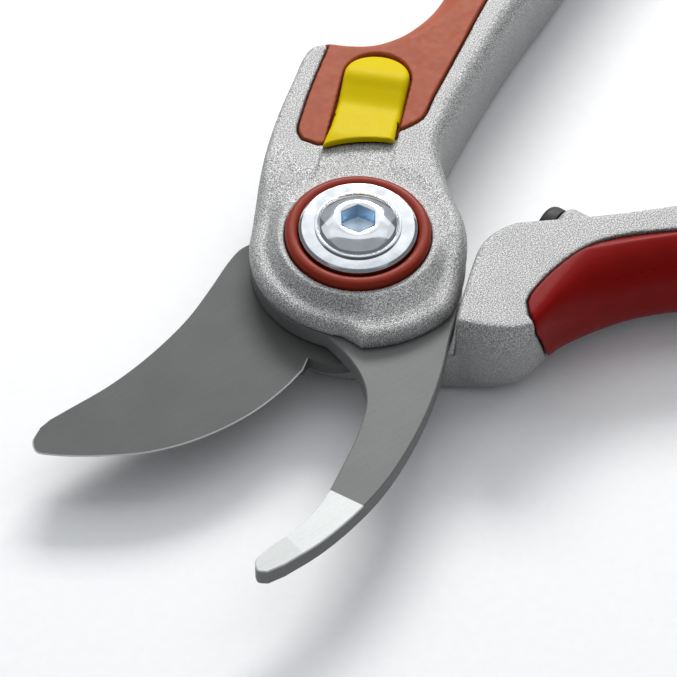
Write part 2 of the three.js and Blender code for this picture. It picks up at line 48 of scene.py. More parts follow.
HALF_OPENING = math.radians(30)
CLOSING_TURN = math.radians(43)
UPPER_TURN = HALF_OPENING
LOWER_TURN = -HALF_OPENING

# the sizes that several pieces share
GAP = 0.3
TOP = 20.0
GRIP_TOP = 20.2
HUB_RADIUS = 19.5
BORE_RADIUS = 4.3
PLATE_BORE_RADIUS = 6.5
PIN_HOLE_RADIUS = 1.8
BLADE_PIN_CIRCLE, BLADE_PIN_ANGLES = 17.0, (2.6, 3.7, 4.9)
HOOK_SCREW_CIRCLE, HOOK_SCREW_ANGLES = 16.8, (1.9, 3.9, 5.4)
# a turned shape starts this far from its axis, so that no two points fall on one spot
NEAR_AXIS = 0.0005

# ---- outlines ----


def arc(radius, start, end, steps):
    """Points on a circle about the pivot; angles in degrees."""
    angles = np.radians(np.linspace(start, end, steps + 1))
    return np.stack([radius * np.cos(angles), radius * np.sin(angles)], axis=1)


def smooth(knots, steps=8):
    """A centripetal Catmull-Rom line through a few points."""
    knots = np.asarray(knots, float)
    padded = np.vstack([2 * knots[0] - knots[1], knots, 2 * knots[-1] - knots[-2]])
    out = []
    for i in range(len(knots) - 1):
        p0, p1, p2, p3 = padded[i : i + 4]
        spans = ((p0, p1), (p1, p2), (p2, p3))
        d0, d1, d2 = (max(math.sqrt(np.linalg.norm(b - a)), 1e-6) for a, b in spans)
        m1 = ((p1 - p0) / d0 - (p2 - p0) / (d0 + d1) + (p2 - p1) / d1) * d1
        m2 = ((p2 - p1) / d1 - (p3 - p1) / (d1 + d2) + (p3 - p2) / d2) * d1
        for t in np.arange(steps) / steps:
            t2, t3 = t * t, t * t * t
            start, end = (2 * t3 - 3 * t2 + 1) * p1, (3 * t2 - 2 * t3) * p2
            out.append(start + (t3 - 2 * t2 + t) * m1 + end + (t3 - t2) * m2)
    out.append(knots[-1])
    return np.array(out)


UPPER_HANDLE_LINE = [
    (16.0, -12.4), (20.2, -9.2), (24.6, -6.2), (28.5, -4.8), (34, -4.4), (50, -4.5), (60, -4.9),
    (71, -5.8), (82, -7.0), (94, -7.9), (108, -9.2), (121, -11.0), (131, -13.2), (137.5, -13.2),
    (141, -9.0), (140, -3.6), (134, 1.0), (122, 6.0), (108, 9.4), (92, 10.8), (76, 10.4),
    (64, 10.3), (55.8, 11.4), (49.8, 13.3), (45.6, 16.5), (43.4, 20.7), (42.2, 24.6),
    (40.2, 27.0), (36.8, 27.4), (31, 26.8), (23.4, 26.0), (14.8, 24.6), (6, 22.6), (1.2, 21.2),
    (-2.4, 20.1),
]
CAP_RADIUS = 20.0
LOBE_RADIUS = 22.6


def upper_outline():
    """The whole upper casting from above: handle, round cap and the lobe over the hook's root."""
    return np.vstack([
        smooth(UPPER_HANDLE_LINE),
        arc(CAP_RADIUS, 103, 190, 50),
        smooth([(-19.5, -5.4), (-19.9, -7.4), (-20.5, -9.4)]),
        arc(LOBE_RADIUS, 209, 252, 30),
        smooth([(-3.6, -21.2), (0.5, -20.3)]),
        arc(CAP_RADIUS, 280, 316, 24),
    ])


UPPER_GRIP_LINE = [
    (17.2, 15.6), (19.4, 12.4), (22.2, 8.6), (25.0, 4.6), (27.6, 2.3), (31.3, 0.3), (36, 0.5),
    (43, 0.6), (65, 0.9), (82, 0.2), (100, -0.6), (118, -2.6), (130, -5.2),
]
UPPER_GRIP_END = [
    (41.5, 23.8), (35.8, 23.2), (29.4, 22.4), (23.6, 21.4), (19.0, 20.3), (17.4, 18.8),
]


def upper_grip_plan():
    """The area of the upper grip, carried on past the handle's outer side."""
    outside = [(134, 20), (60, 34), (43, 32)]
    return np.vstack([smooth(UPPER_GRIP_LINE), outside, smooth(UPPER_GRIP_END)])


LOWER_HANDLE_LINE = [
    (14.8, -22.6), (18.0, -23.9), (21.5, -25.0), (25.5, -25.6), (29.0, -24.8), (32.0, -22.4),
    (35.5, -20.1), (39.5, -18.2), (44, -16.5), (50, -14.9), (58, -14.1), (72, -14.6), (88, -15.6),
    (104, -15.2), (118, -12.4), (130, -7.6), (138, -2.2), (141, 3.4), (138.5, 8.4), (132, 9.6),
    (121, 7.4), (108, 5.4), (94, 3.9), (82, 3.0), (71, 1.8), (60, 0.6), (46, -0.3), (33, -0.3),
    (29, -0.4), (25.4, -1.8), (22.1, -4.7), (19.9, -8.9), (18.0, -13.6), (16.4, -17.7),
    (15.4, -20.6),
]
LOWER_GRIP_LINE = [
    (138, 1.0), (128, 0.6), (116, -1.4), (100, -3.6), (82, -5.0), (66, -5.8), (50, -6.0),
    (44, -6.9), (39.5, -8.8), (35.3, -11.8), (31.6, -15.2), (28.8, -18.6), (28.0, -21.4),
    (29.4, -25.4),
]


def lower_grip_plan():
    """The area of the lower grip, carried on past the handle's outer side."""
    return np.vstack([[(34, -34), (140, -30)], smooth(LOWER_GRIP_LINE)])


BLADE_HEEL = [(0, -19.5), (-3.4, -21.8), (-6.5, -22.0), (-9.4, -21.2), (-11.4, -20.0)]
BLADE_BACK = [
    (-18.6, 8.4), (-21, 7.2), (-23.4, 4.5), (-27.6, -1.9), (-32.4, -8.6), (-39.7, -16.1),
    (-47.4, -22.2), (-54.8, -26.6), (-58.4, -28.7),
]
BLADE_EDGE = [
    (-60.4, -30.4), (-61.8, -33.2), (-61.2, -35.6), (-58.6, -36.6), (-50.2, -37.8),
    (-41.3, -37.9), (-32.3, -35.9), (-23.1, -31.6), (-16.3, -26.4), (-12.6, -22.6),
]
BLADE_GROUND = [
    (-59.4, -30.0), (-59.2, -31.2), (-58.2, -31.9), (-55.8, -32.1), (-49.0, -32.4),
    (-40.6, -31.8), (-33.4, -29.8), (-26.2, -26.4), (-18.6, -22.6), (-12.4, -21.4),
]
HOOK_INNER = [
    (-19.9, -2.5), (-21.4, -5.4), (-23.2, -8.5), (-26.4, -12.2), (-30.5, -14.8), (-37, -16.2),
    (-46, -16.6), (-54, -16.4), (-60.6, -14.7), (-67.0, -11.7), (-69.6, -11.0), (-71.4, -12.2),
    (-71.0, -13.9),
]
HOOK_OUTER = [
    (-68.4, -16.0), (-61.9, -19.7), (-54, -22.8), (-46, -24.8), (-36, -25.7), (-26, -25.4),
    (-18, -24.3), (-11.6, -22.9), (-6.5, -22.0), (-1, -20.4),
]

# ---- solid fields: distance in millimetres to a surface, negative inside ----


def plan_distance(outline, x, y):
    """Distance of each grid point to a closed outline."""
    px, py = np.meshgrid(x, y, indexing="ij")
    nearest = np.full(px.shape, 1e9)
    inside = np.zeros(px.shape, bool)
    for (ax, ay), (bx, by) in zip(outline, np.roll(outline, -1, axis=0)):
        dx, dy = bx - ax, by - ay
        length = dx * dx + dy * dy
        if length < 1e-10:
            continue
        t = np.clip(((px - ax) * dx + (py - ay) * dy) / length, 0, 1)
        nearest = np.minimum(nearest, (px - ax - t * dx) ** 2 + (py - ay - t * dy) ** 2)
        if abs(dy) > 1e-12:
            inside ^= ((ay > py) != (by > py)) & (px < dx * (py - ay) / dy + ax)
    return (np.where(inside, -1.0, 1.0) * np.sqrt(nearest))[:, :, None]


def both(a, b, radius):
    """The common part of two solids, with the edge between them rounded."""
    rim = np.hypot(np.maximum(a + radius, 0), np.maximum(b + radius, 0))
    return np.minimum(np.maximum(a, b), -radius) + rim


def either(a, b, blend):
    """Two solids joined, with a fillet between them."""
    h = np.maximum(blend - np.abs(a - b), 0) / blend
    return np.minimum(a, b) - h * h * blend / 4


def less(a, b, radius=0.0):
    """Solid a with solid b cut away."""
    return both(a, -b, radius) if radius else np.maximum(a, -b)


def ramp(value, start, end, low, high):
    """A smooth change from low to high as value goes from start to end."""
    t = np.clip((value - start) / (end - start), 0, 1)
    return low + (high - low) * t * t * (3 - 2 * t)


def upright(x, y, z, radius, low, high, cx=0.0, cy=0.0):
    """An upright cylinder."""
    return np.maximum(np.hypot(x - cx, y - cy) - radius, np.maximum(low - z, z - high))


def pin_holes(solid, x, y, z, circle, angles, low, high):
    """A solid with a pin hole cut at each angle of a circle about the pivot."""
    for angle in angles:
        place = circle * math.cos(angle), circle * math.sin(angle)
        solid = less(solid, upright(x, y, z, PIN_HOLE_RADIUS, low, high, *place))
    return solid


def block(x, y, z, low, high):
    """A box between two corners."""
    sides = [np.maximum(lo - v, v - hi) for v, lo, hi in zip((x, y, z), low, high)]
    return np.maximum(np.maximum(sides[0], sides[1]), sides[2])


def surface(field, axes):
    """Points and four-sided faces of the zero surface of a field (surface nets)."""
    sizes = np.array(field.shape) - 1
    inside = field < 0
    cells, points = [], []
    for axis in range(3):
        side_b, side_c = (axis + 1) % 3, (axis + 2) % 3
        near = [slice(None)] * 3
        far = [slice(None)] * 3
        near[axis], far[axis] = slice(0, -1), slice(1, None)
        change = inside[tuple(near)] != inside[tuple(far)]
        index = np.stack(np.nonzero(change), axis=1)
        ahead = index.copy()
        ahead[:, axis] += 1
        value_near, value_far = field[tuple(index.T)], field[tuple(ahead.T)]
        t = value_near / (value_near - value_far)
        point = np.stack([axes[a][index[:, a]] for a in range(3)], axis=1)
        point[:, axis] += t * (axes[axis][ahead[:, axis]] - axes[axis][index[:, axis]])
        ring = []
        for step_b, step_c in ((-1, -1), (0, -1), (0, 0), (-1, 0)):
            cell = index.copy()
            cell[:, side_b] += step_b
            cell[:, side_c] += step_c
            ring.append((cell[:, 0] * sizes[1] + cell[:, 1]) * sizes[2] + cell[:, 2])
        ring = np.stack(ring, axis=1)
        ring[value_near > 0] = ring[value_near > 0][:, ::-1]
        cells.append(ring)
        points.append(np.repeat(point, 4, axis=0))
    cells, points = np.vstack(cells), np.vstack(points)
    _, corner = np.unique(cells.ravel(), return_inverse=True)
    count = np.bincount(corner)
    place = np.stack([np.bincount(corner, weights=points[:, a]) / count for a in range(3)], axis=1)
    return place, corner.reshape(-1, 4)


def steps_between(*marks):
    """Grid positions from (start, step), (next start, step), ..., (end, anything)."""
    out = []
    for (start, step), (end, _) in zip(marks, marks[1:]):
        count = max(int(round((end - start) / step)), 1)
        out.append(np.linspace(start, end, count, endpoint=False))
    return np.append(np.concatenate(out), marks[-1][0])


# ---- meshes ----

collection = bpy.context.scene.collection


def turned_by(points, angle):
    """Points turned about the pivot."""
    points = np.asarray(points, float)
    c, s = math.cos(angle), math.sin(angle)
    x, y, z = points.T
    return np.stack([x * c - y * s, x * s + y * c, z], axis=1)


def new_object(name, points, faces, materials, place, sharp):
    """A finished piece from points in millimetres in the row frame. place is the body that it
    rides on, the CAD node that it stands for and that node's slot, which is not used; sharp is
    the angle in degrees from which an edge stays crisp, or None."""
    body, node, slot = place
    mesh = bpy.data.meshes.new(name)
    points = [tuple(p) for p in np.asarray(points) * MM]
    mesh.from_pydata(points, [], [tuple(int(i) for i in f) for f in faces])
    mesh.update()
    mesh.shade_smooth()
    if sharp:
        mesh.set_sharp_from_angle(angle=math.radians(sharp))
    for material in materials:
        mesh.materials.append(material)
    obj = bpy.data.objects.new(name, mesh)
    collection.objects.link(obj)
    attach(obj, body)
    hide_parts(node)
    return obj


def from_field(name, field, axes, turn, material, place):
    """A finished piece from a field in a lever's own frame."""
    points, faces = surface(field, axes)
    new_object(name, turned_by(points, turn), faces, [material], place, sharp=None)


def spun(profile, segments):
    """Points and faces of a turned shape from [radius, height] pairs, closed where they start."""
    profile = np.asarray(profile, float)
    angles = np.linspace(0, 2 * math.pi, segments, endpoint=False)
    points = np.array([(r * math.cos(a), r * math.sin(a), z) for a in angles for r, z in profile])
    count = len(profile)
    faces = []
    for i in range(segments):
        j = (i + 1) % segments
        for k in range(count):
            n = (k + 1) % count
            faces.append((i * count + k, j * count + k, j * count + n, i * count + n))
    return points, faces


def fillet_profile(corners, steps=5):
    """A closed profile from (radius, height, rounding) corners."""
    out = []
    count = len(corners)
    for i, (r, z, rounding) in enumerate(corners):
        here = np.array((r, z))
        before = np.array(corners[i - 1][:2]) - here
        after = np.array(corners[(i + 1) % count][:2]) - here
        if rounding <= 0:
            out.append(here)
            continue
        before /= np.linalg.norm(before)
        after /= np.linalg.norm(after)
        half = math.acos(np.clip(before @ after, -1, 1)) / 2
        reach = rounding / math.tan(half)
        start, end = here + before * reach, here + after * reach
        for t in np.linspace(0, 1, steps + 1):
            out.append((1 - t) ** 2 * start + 2 * t * (1 - t) * here + t * t * end)
    return np.array(out)


# ---- materials ----


def new_material(name):
    """A material with its node tree, its shader, and coordinates in the piece's own frame."""
    material = bpy.data.materials.new(name)
    material.use_nodes = True
    tree = material.node_tree
    shader = tree.nodes["Principled BSDF"]
    place = tree.nodes.new("ShaderNodeTexCoord")
    return material, tree, shader, place.outputs["Object"]


def noise(tree, place, scale, detail=2.0, rough=0.5, stretch=None, turn=0.0):
    """Noise of that many cells a metre, drawn out along one direction if stretch is given."""
    node = tree.nodes.new("ShaderNodeTexNoise")
    node.inputs["Scale"].default_value = scale
    node.inputs["Detail"].default_value = detail
    node.inputs["Roughness"].default_value = rough
    if stretch:
        mapping = tree.nodes.new("ShaderNodeMapping")
        mapping.inputs["Rotation"].default_value = (0, 0, turn)
        mapping.inputs["Scale"].default_value = stretch
        tree.links.new(place, mapping.inputs["Vector"])
        place = mapping.outputs["Vector"]
    tree.links.new(place, node.inputs["Vector"])
    return node.outputs["Fac"]


def spread(tree, value, low, high, start=0.3, end=0.7):
    """A value that goes from low to high as the input goes from start to end."""
    node = tree.nodes.new("ShaderNodeMapRange")
    for name, number in (("From Min", start), ("From Max", end), ("To Min", low), ("To Max", high)):
        node.inputs[name].default_value = number
    tree.links.new(value, node.inputs["Value"])
    return node.outputs["Result"]


def blend_to(tree, value, level, share):
    """A value drawn towards a level where the share is small."""
    node = tree.nodes.new("ShaderNodeMix")
    node.inputs["A"].default_value = level
    tree.links.new(value, node.inputs["B"])
    tree.links.new(share, node.inputs["Factor"])
    return node.outputs["Result"]


def tint(tree, value, stops):
    """Colour from (place, (r, g, b)) stops."""
    node = tree.nodes.new("ShaderNodeValToRGB")
    ramp_stops = node.color_ramp.elements
    while len(ramp_stops) < len(stops):
        ramp_stops.new(0.5)
    for element, (place, color) in zip(ramp_stops, stops):
        element.position = place
        element.color = (*color, 1)
    tree.links.new(value, node.inputs["Fac"])
    return node.outputs["Color"]


def bump(tree, shader, value, strength, depth, under=None):
    """Relief from a value, on top of another relief if one is given."""
    node = tree.nodes.new("ShaderNodeBump")
    node.inputs["Strength"].default_value = strength
    node.inputs["Distance"].default_value = depth
    tree.links.new(value, node.inputs["Height"])
    if under is not None:
        tree.links.new(under, node.inputs["Normal"])
    tree.links.new(node.outputs["Normal"], shader.inputs["Normal"])
    return node.outputs["Normal"]


def blasted_aluminium():
    """Shot-blasted casting: each grain of the skin tilts its own way and glints. Low on the walls
    the skin is rubbed smoother."""
    material, tree, shader, place = new_material("blasted_aluminium")
    shader.inputs["Metallic"].default_value = 0.65
    height = tree.nodes.new("ShaderNodeSeparateXYZ")
    tree.links.new(place, height.inputs[0])
    rub = spread(tree, height.outputs["Z"], 0.35, 1.0, start=0.011, end=0.017)
    raw = noise(tree, place, 4400, detail=3, rough=0.65)
    grain = blend_to(tree, raw, 0.5, rub)
    cloud = noise(tree, place, 160, detail=4)
    shades = [(0.34, (0.10, 0.10, 0.10)), (0.50, (0.35, 0.35, 0.346)), (0.64, (0.72, 0.72, 0.71))]
    tree.links.new(tint(tree, grain, shades), shader.inputs["Base Color"])
    tree.links.new(spread(tree, cloud, 0.50, 0.58), shader.inputs["Roughness"])
    rough = bump(tree, shader, grain, 0.75, 0.00022)
    bump(tree, shader, cloud, 0.25, 0.0004, rough)
    return material


def satin_steel(name, color, light, roughness, turn=0, metallic=0.9):
    """Plate with faint grinding lines, turned by some degrees. A low metallic value stands for a
    coating."""
    material, tree, shader, place = new_material(name)
    shader.inputs["Metallic"].default_value = metallic
    lines = noise(tree, place, 900, detail=3, stretch=(0.08, 3.0, 1.0), turn=math.radians(turn))
    speck = noise(tree, place, 2600, detail=2)
    mixed = tree.nodes.new("ShaderNodeMix")
    mixed.inputs["Factor"].default_value = 0.5
    tree.links.new(lines, mixed.inputs["A"])
    tree.links.new(speck, mixed.inputs["B"])
    skin = mixed.outputs["Result"]
    tree.links.new(tint(tree, skin, [(0.35, color), (0.65, light)]), shader.inputs["Base Color"])
    haze = spread(tree, noise(tree, place, 120, detail=3), roughness - 0.02, roughness + 0.02)
    tree.links.new(haze, shader.inputs["Roughness"])
    bump(tree, shader, skin, 0.25, 0.00006)
    return material


def bright_zinc(name, color, roughness):
    """Bright zinc plating with a slight haze."""
    material, tree, shader, place = new_material(name)
    shader.inputs["Metallic"].default_value = 1.0
    haze = noise(tree, place, 420, detail=4)
    shades = [(0.35, tuple(0.9 * c for c in color)), (0.65, color)]
    tree.links.new(tint(tree, haze, shades), shader.inputs["Base Color"])
    rough = spread(tree, haze, roughness - 0.04, roughness + 0.06)
    tree.links.new(rough, shader.inputs["Roughness"])
    bump(tree, shader, noise(tree, place, 1500, detail=2), 0.12, 0.00004)
    return material


def moulded(name, color, dark, roughness, grain, shine):
    """Moulded plastic with a slight mottle and a fine skin."""
    material, tree, shader, place = new_material(name)
    mottle = noise(tree, place, 260, detail=4)
    tree.links.new(tint(tree, mottle, [(0.3, dark), (0.7, color)]), shader.inputs["Base Color"])
    haze = spread(tree, noise(tree, place, 700, detail=3), roughness - 0.05, roughness + 0.07)
    tree.links.new(haze, shader.inputs["Roughness"])
    shader.inputs["Specular IOR Level"].default_value = shine
    bump(tree, shader, noise(tree, place, 2400, detail=2), grain, 0.00008)
    return material


ALUMINIUM = blasted_aluminium()
BLADE = satin_steel("blade_steel", (0.066, 0.070, 0.068), (0.076, 0.080, 0.077), 0.6, 55, 0.1)
HOOK = satin_steel("hook_steel", (0.138, 0.143, 0.139), (0.155, 0.160, 0.155), 0.6, -35, 0.1)
GROUND = satin_steel("ground_steel", (0.63, 0.64, 0.63), (0.69, 0.70, 0.69), 0.5, 70, 0.1)
# the hook tip's second flat: the same ground steel, darker as painted shade for its tilt, since the
# flats are only coloured
SHADED_FACET_STEEL = satin_steel("ground_facet_painted_shade", (0.56, 0.57, 0.56), (0.61, 0.62, 0.61), 0.5, 50, 0.1)
ZINC = bright_zinc("zinc_plate", (0.55, 0.575, 0.60), 0.10)
# the hex socket's zinc: a lighter, bluer copy of the bolt's plating, a painted reflection
SOCKET_PAINTED_REFLECTION = bright_zinc("socket_zinc_painted_reflection", (0.55, 0.68, 0.80), 0.34)
SPRING_STEEL = satin_steel("spring_steel", (0.22, 0.22, 0.23), (0.30, 0.30, 0.31), 0.32)
RING_RED = moulded("ring_red", (0.25, 0.027, 0.012), (0.22, 0.022, 0.009), 0.36, 0.04, 0.12)
UPPER_RED = moulded("upper_grip_red", (0.35, 0.076, 0.030), (0.31, 0.062, 0.023), 0.56, 0.25, 0.22)
LOWER_RED = moulded("lower_grip_red", (0.23, 0.003, 0.002), (0.205, 0.002, 0.001), 0.38, 0.02, 0.10)
YELLOW = moulded("lock_yellow", (0.62, 0.48, 0.001), (0.60, 0.46, 0.001), 0.40, 0.02, 0.05)
RUBBER = moulded("black_rubber", (0.018, 0.018, 0.020), (0.010, 0.010, 0.011), 0.6, 0.4, 0.5)

# ---- the lock's frame ----

LOCK_TURN = math.radians(12.5)
LOCK_OFFSET = 3.75
LIP_CENTRE = (-1.3, -6.3)
LIP_RADIUS = 24.2
LIP_FRONT = 22.05
BUTTON_END = 45.0
BUTTON_HALF = 6.2
RECESS_FLOOR = 18.2
STEP_FLOOR = 19.6
DETENT_PLACE, DETENT_HOLE_RADIUS, DETENT_HOLE_BOTTOM = 40.4, 1.8, 8.7
LOCK_TRAVEL = 4.5
TONGUE_TIP, TONGUE_END, TONGUE_HALF = 21.0, 37.0, 2.6
TONGUE_BOTTOM, TONGUE_TOP = 3.0, 6.4
TONGUE_STEM_START, TONGUE_STEM_END = 28.0, 34.0


def lock_frame(x, y):
    """Places in the upper lever, measured along and across the lock's slide."""
    c, s = math.cos(LOCK_TURN), math.sin(LOCK_TURN)
    dx, dy = x + LOCK_OFFSET * s, y - LOCK_OFFSET * c
    return dx * c + dy * s, -dx * s + dy * c


def button_plan(along, across, half, end):
    """Flat distance to the button's outline: straight sides and a round far end."""
    past = np.maximum(along - (end - half), 0)
    return np.hypot(past, across) - half


# ---- the upper lever ----

CAP_BOTTOM = 14.3
RIM_RADIUS = 14.7
RIM_TOP = 19.8
CREST_TOP = 17.0
CREST_INSET = 2.8
HUB_ROOM_RADIUS = 20.8
HUB_ROOM_END = 10
GRIP_GAP = 0.38
RING_SEAT_RADIUS, RING_SEAT_FLOOR = 13.5, 17.5
HOOK_SCREW_TOP = 16.5
RECESS_START, RECESS_INNER_RADIUS = 6, 15.2
RECESS_SIDE_GAP, RECESS_END_GAP = 0.4, 0.45
UPPER_FOOT_ROUNDING = 3.0


def head_top(x, r, inward):
    """Height of the casting's top: from a rim about the pivot it slopes down to a crest at the
    outer edge, but stays level towards the neck. inward is the distance in from the outline."""
    past_rim = r - RIM_RADIUS
    way = np.clip(past_rim / np.maximum(past_rim + inward - CREST_INSET, 0.5), 0, 1)
    shoulder = RIM_TOP - way * (RIM_TOP - CREST_TOP) + 0.3 * np.exp(-(((way - 1) / 0.16) ** 2))
    neck = TOP - ramp(r, RIM_RADIUS, 19, 0.5, 0) * ramp(r, 13, RIM_RADIUS, 0.4, 1)
    return shoulder + (neck - shoulder) * ramp(x / np.maximum(r, 1), -0.3, 0.62, 0.0, 1.0)


def grip_room(plan, handle, z, wall=2.6, roof=16.6, floor=3.0):
    """The space of a grip: a top plate and an outer wall round the casting's core."""
    return np.maximum(np.maximum(plan, np.minimum(-handle - wall, roof - z)), floor - z)


def tongue_channel(along, across, z):
    """Room for the lock's tongue and its stem, the detent's hole and a slot for the lock's screw."""
    side = TONGUE_HALF + GAP
    bar = (14, -side, TONGUE_BOTTOM - GAP), (TONGUE_END + GAP, side, TONGUE_TOP + GAP)
    stem_start = TONGUE_STEM_START - LOCK_TRAVEL - GAP
    stem = (stem_start, -side, TONGUE_BOTTOM), (TONGUE_STEM_END + GAP, side, 30)
    screw_slot = (23.3, -2.5, -2), (34.2, 2.5, TONGUE_BOTTOM)
    detent = (DETENT_HOLE_RADIUS, DETENT_HOLE_BOTTOM, 30, DETENT_PLACE, 0)
    return np.minimum.reduce([
        block(along, across, z, *bar) + 0 * z,
        block(along, across, z, *stem) + 0 * z,
        upright(along, across, z, *detent),
        block(along, across, z, *screw_slot) + 0 * z,
    ])


def upper_castings():
    """The upper handle's casting and its grip."""
    x = steps_between((-24, 0.36), (52, 0.6), (90, 0.9), (143, 1))
    y = steps_between((-24.4, 0.36), (29, 1))
    z = steps_between((-0.9, 0.36), (21.6, 1))
    axes = (x, y, z)
    handle = plan_distance(upper_outline(), x, y)
    plan = plan_distance(upper_grip_plan(), x, y)
    gx, gy, gz = x[:, None, None], y[None, :, None], z[None, None, :]
    r = np.hypot(gx, gy)
    along, across = lock_frame(gx, gy)

    half, end = BUTTON_HALF + RECESS_SIDE_GAP, BUTTON_END + RECESS_END_GAP
    recess_plan = button_plan(along, across, half, end)
    behind_lip = np.hypot(along - LIP_CENTRE[0], across - LIP_CENTRE[1]) - LIP_RADIUS
    recess_floor = np.where(behind_lip < 0.4, STEP_FLOOR, RECESS_FLOOR)
    recess = np.maximum(recess_plan, recess_floor - gz)
    recess = np.maximum(recess, np.maximum(RECESS_INNER_RADIUS - r, RECESS_START - along))
    channel = tongue_channel(along, across, gz)

    top_edge = ramp(gx, 0, 12, 2.6, ramp(gy, 0, 8, 2.8, 1.3))
    body = both(handle, gz - head_top(gx, r, -handle), top_edge)
    body = both(body, -gz, UPPER_FOOT_ROUNDING)
    body = less(body, np.maximum(r - HUB_ROOM_RADIUS, gz - CAP_BOTTOM))
    body = less(body, np.maximum(gx - HUB_ROOM_END, gz - CAP_BOTTOM))
    room = grip_room(plan, handle, gz)
    body = less(body, room - GRIP_GAP, 0.2)
    body = less(body, recess, 0.2)
    body = less(body, channel)
    body = less(body, upright(gx, gy, gz, BORE_RADIUS, 10, 30))
    body = less(body, upright(gx, gy, gz, RING_SEAT_RADIUS, RING_SEAT_FLOOR, 30), 0.25)
    body = pin_holes(body, gx, gy, gz, HOOK_SCREW_CIRCLE, HOOK_SCREW_ANGLES, 10, HOOK_SCREW_TOP)
    place = ("upper_lever", "upper_handle", "cast_aluminium")
    from_field("upper_casting", body, axes, UPPER_TURN, ALUMINIUM, place)

    roundness = ramp(gx, 40, 64, 1.3, 6.5)
    grip = both(handle, gz - GRIP_TOP, roundness)
    grip = both(grip, -gz, UPPER_FOOT_ROUNDING)
    grip = both(grip, room, 0.15)
    grip = less(grip, recess, 0.25)
    grip = less(grip, channel)
    place = ("upper_lever", "upper_grip", "upper_grip_red")
    from_field("upper_grip_shell", grip, axes, UPPER_TURN, UPPER_RED, place)


# ---- the lower lever ----

BUFFER_AT = np.array((39.9, 0.3, 13.2))
BUFFER_TILT = math.radians(48)
BUFFER_HOLE_RADIUS, BUFFER_HOLE_DEPTH = 1.9, 4.3
BOSS_RADIUS, BOSS_HEIGHT, BOSS_DEPTH = 4.8, 3.0, 3
HUB_BOTTOM, HUB_TOP = 1.0, 6.7
ROOT_TOP = 9.9
ROOT_LINE = [(6, -14), (6, -20.4), (11, -22.2), (22, -24), (27, -22), (27, -7), (14, -7)]
POCKET_RADIUS, POCKET_CORE_RADIUS, POCKET_FLOOR = 14.7, 8.6, 4.0
NUT_ROOM_RADIUS, NUT_ROOM_TOP = 8.0, 2.9
BLADE_PIN_BOTTOM = 3.1


def buffer_frame(x, y, z):
    """Distance along the buffer's axis and away from it."""
    dx, dy, dz = x - BUFFER_AT[0], y - BUFFER_AT[1], z - BUFFER_AT[2]
    out = (-math.sin(BUFFER_TILT), math.cos(BUFFER_TILT))
    along = dx * out[0] + dy * out[1]
    across = dx * out[1] - dy * out[0]
    return along, np.hypot(across, dz)


def lower_castings():
    """The lower handle's casting, with the hub under the blade, and its grip."""
    x = steps_between((-21, 0.36), (56, 0.6), (90, 0.9), (143, 1))
    y = steps_between((-27, 0.36), (21, 1))
    z = steps_between((-0.9, 0.36), (21.6, 1))
    axes = (x, y, z)
    handle = plan_distance(smooth(LOWER_HANDLE_LINE), x, y)
    plan = plan_distance(lower_grip_plan(), x, y)
    gx, gy, gz = x[:, None, None], y[None, :, None], z[None, None, :]
    r = np.hypot(gx, gy)

    # the end of the grip at the shoulder leans back as it goes up
    side_line = (33.4 - 5.2 * (np.clip(gz, 0, 20) / 20) ** 1.3 - gx) * 0.95
    plan = np.maximum(plan, side_line)
    room = grip_room(plan, handle, gz)
    foot_rounding = ramp(gx, 17, 36, 4.6, 9.8)
    body = both(handle, gz - TOP, 1.1)
    body = both(body, -gz, foot_rounding)
    out, away = buffer_frame(gx, gy, gz)
    boss = both(away - BOSS_RADIUS, out - BOSS_HEIGHT, 1.4)
    body = either(body, np.maximum(boss, -BOSS_DEPTH - out), 0.8)
    body = less(body, room - GRIP_GAP, 0.2)

    # the hub, with a notch for the lock's tongue in the open and in the closed place
    hub = both(np.maximum(r - HUB_RADIUS, gz - HUB_TOP), HUB_BOTTOM - gz, 0.6)
    side = TONGUE_HALF + GAP
    notch = (TONGUE_TIP - LOCK_TRAVEL - GAP, -side, -1), (30, side, 12)
    for turn in (2 * HALF_OPENING, 2 * HALF_OPENING - CLOSING_TURN):
        c, s = math.cos(turn), math.sin(turn)
        along, across = lock_frame(gx * c + gy * s, -gx * s + gy * c)
        hub = less(hub, block(along, across, gz, *notch) + 0 * gz)
    root = plan_distance(np.array(ROOT_LINE, float), x, y)
    root_top = np.where(r > CAP_RADIUS + GAP, ROOT_TOP, HUB_TOP)
    root = both(root + 0 * gz, np.maximum(HUB_BOTTOM - gz, gz - root_top), 0.5)
    body = np.minimum(body, np.minimum(hub, root))

    pocket = upright(gx, gy, gz, POCKET_RADIUS, POCKET_FLOOR, 9)
    body = less(body, np.maximum(pocket, POCKET_CORE_RADIUS - r))
    body = less(body, upright(gx, gy, gz, BORE_RADIUS, -2, 12))
    body = less(body, upright(gx, gy, gz, NUT_ROOM_RADIUS, -2, NUT_ROOM_TOP))
    body = pin_holes(body, gx, gy, gz, BLADE_PIN_CIRCLE, BLADE_PIN_ANGLES, BLADE_PIN_BOTTOM, 12)
    body = less(body, np.maximum(away - BUFFER_HOLE_RADIUS, -BUFFER_HOLE_DEPTH - out))
    place = ("lower_lever", "lower_handle", "cast_aluminium")
    from_field("lower_casting", body, axes, LOWER_TURN, ALUMINIUM, place)

    roundness = ramp(gx, 28, 44, 2.5, 9.5)
    grip = both(handle, gz - GRIP_TOP, roundness)
    grip = both(grip, -gz, foot_rounding)
    grip = both(grip, room, 0.15)
    place = ("lower_lever", "lower_grip", "lower_grip_red")
    from_field("lower_grip_shell", grip, axes, LOWER_TURN, LOWER_RED, place)


# ---- the thumb button ----

BUTTON_BOTTOM = 18.5
LIP_OVERHANG, LIP_UNDERSIDE = 6.4, 19.9


